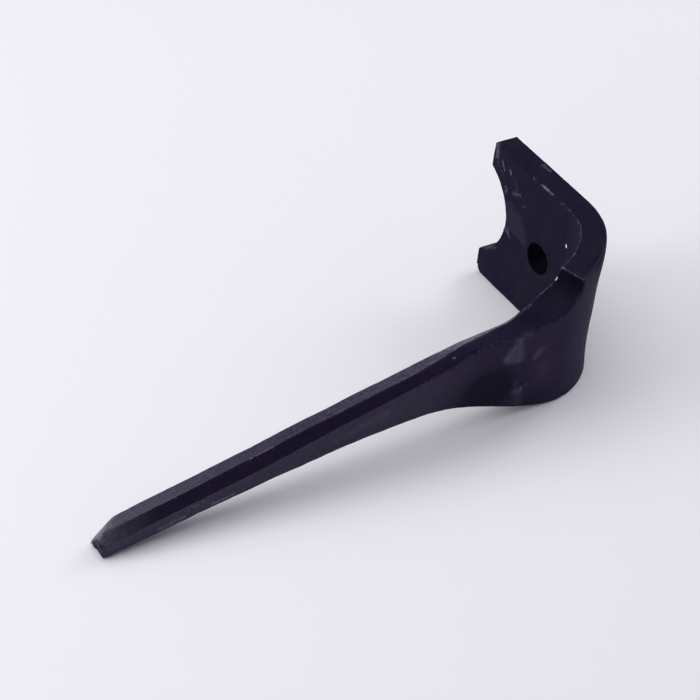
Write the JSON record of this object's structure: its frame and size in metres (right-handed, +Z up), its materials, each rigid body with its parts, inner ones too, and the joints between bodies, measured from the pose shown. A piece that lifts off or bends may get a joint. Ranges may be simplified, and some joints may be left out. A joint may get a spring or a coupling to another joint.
{
  "type": "harrow tine",
  "caption": "Forged L-shaped harrow tine: flat head plate with a bolt hole and round hub notch, bent to a long tapering blade with a ridged cutting edge.",
  "frame": {"origin": "centre of the bolt hole on the head's outer mounting face", "axes": "+X out of the mounting face along the bolt's axis, +Y towards the open end of the head, +Z up with the tine lying on its lower edge; the blade runs along -X"},
  "size_m": [0.3017, 0.1113, 0.0838],
  "materials": {
    "dark_paint": "satin blue-black paint over forged steel, lightly scuffed"
  },
  "bodies": {
    "root": {"tine": "dark_paint"}
  },
  "joints": []
}
